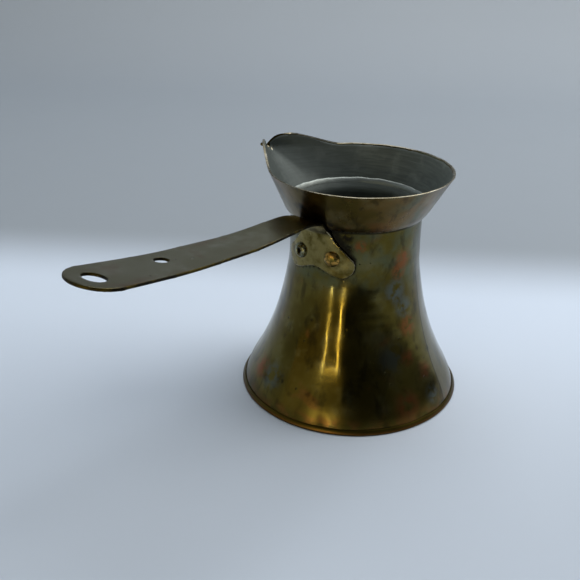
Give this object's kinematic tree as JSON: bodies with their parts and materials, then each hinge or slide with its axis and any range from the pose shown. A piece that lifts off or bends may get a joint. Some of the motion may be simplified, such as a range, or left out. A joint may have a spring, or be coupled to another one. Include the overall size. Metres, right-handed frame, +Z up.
{
  "type": "coffee pot",
  "caption": "Long-handled coffee pot with a waisted bell body, a funnel collar drawn out into a pouring lip, and a riveted strap handle with a hanging eye.",
  "frame": {"origin": "centre of the base's resting face", "axes": "+Z up; +X along the handle, from the pot's axis to the handle's tip; -Y towards the pouring lip"},
  "size_m": [0.1964, 0.1033, 0.1077],
  "materials": {
    "wall_brass": "dark olive and brown patina over polished brass",
    "base_brass": "copper-brown patina, worn edge",
    "collar_brass": "brown patina, bright worn rim",
    "strap_brass": "dull grey-brown patina",
    "rivet_brass": "hammered, worn heads",
    "solder": "dull soft solder",
    "tin": "wiped tin, dulled to dark grey"
  },
  "bodies": {
    "root": {"body_shell": "wall_brass", "base_pan": "base_brass", "collar": "collar_brass", "handle_strap": "strap_brass", "rivet_domed": "rivet_brass", "rivet_eyelet": "rivet_brass", "neck_solder": "solder", "base_solder": "solder", "tin_lining_floor": "tin", "tin_lining_bowl": "tin", "tin_lining_collar": "tin"}
  },
  "joints": []
}
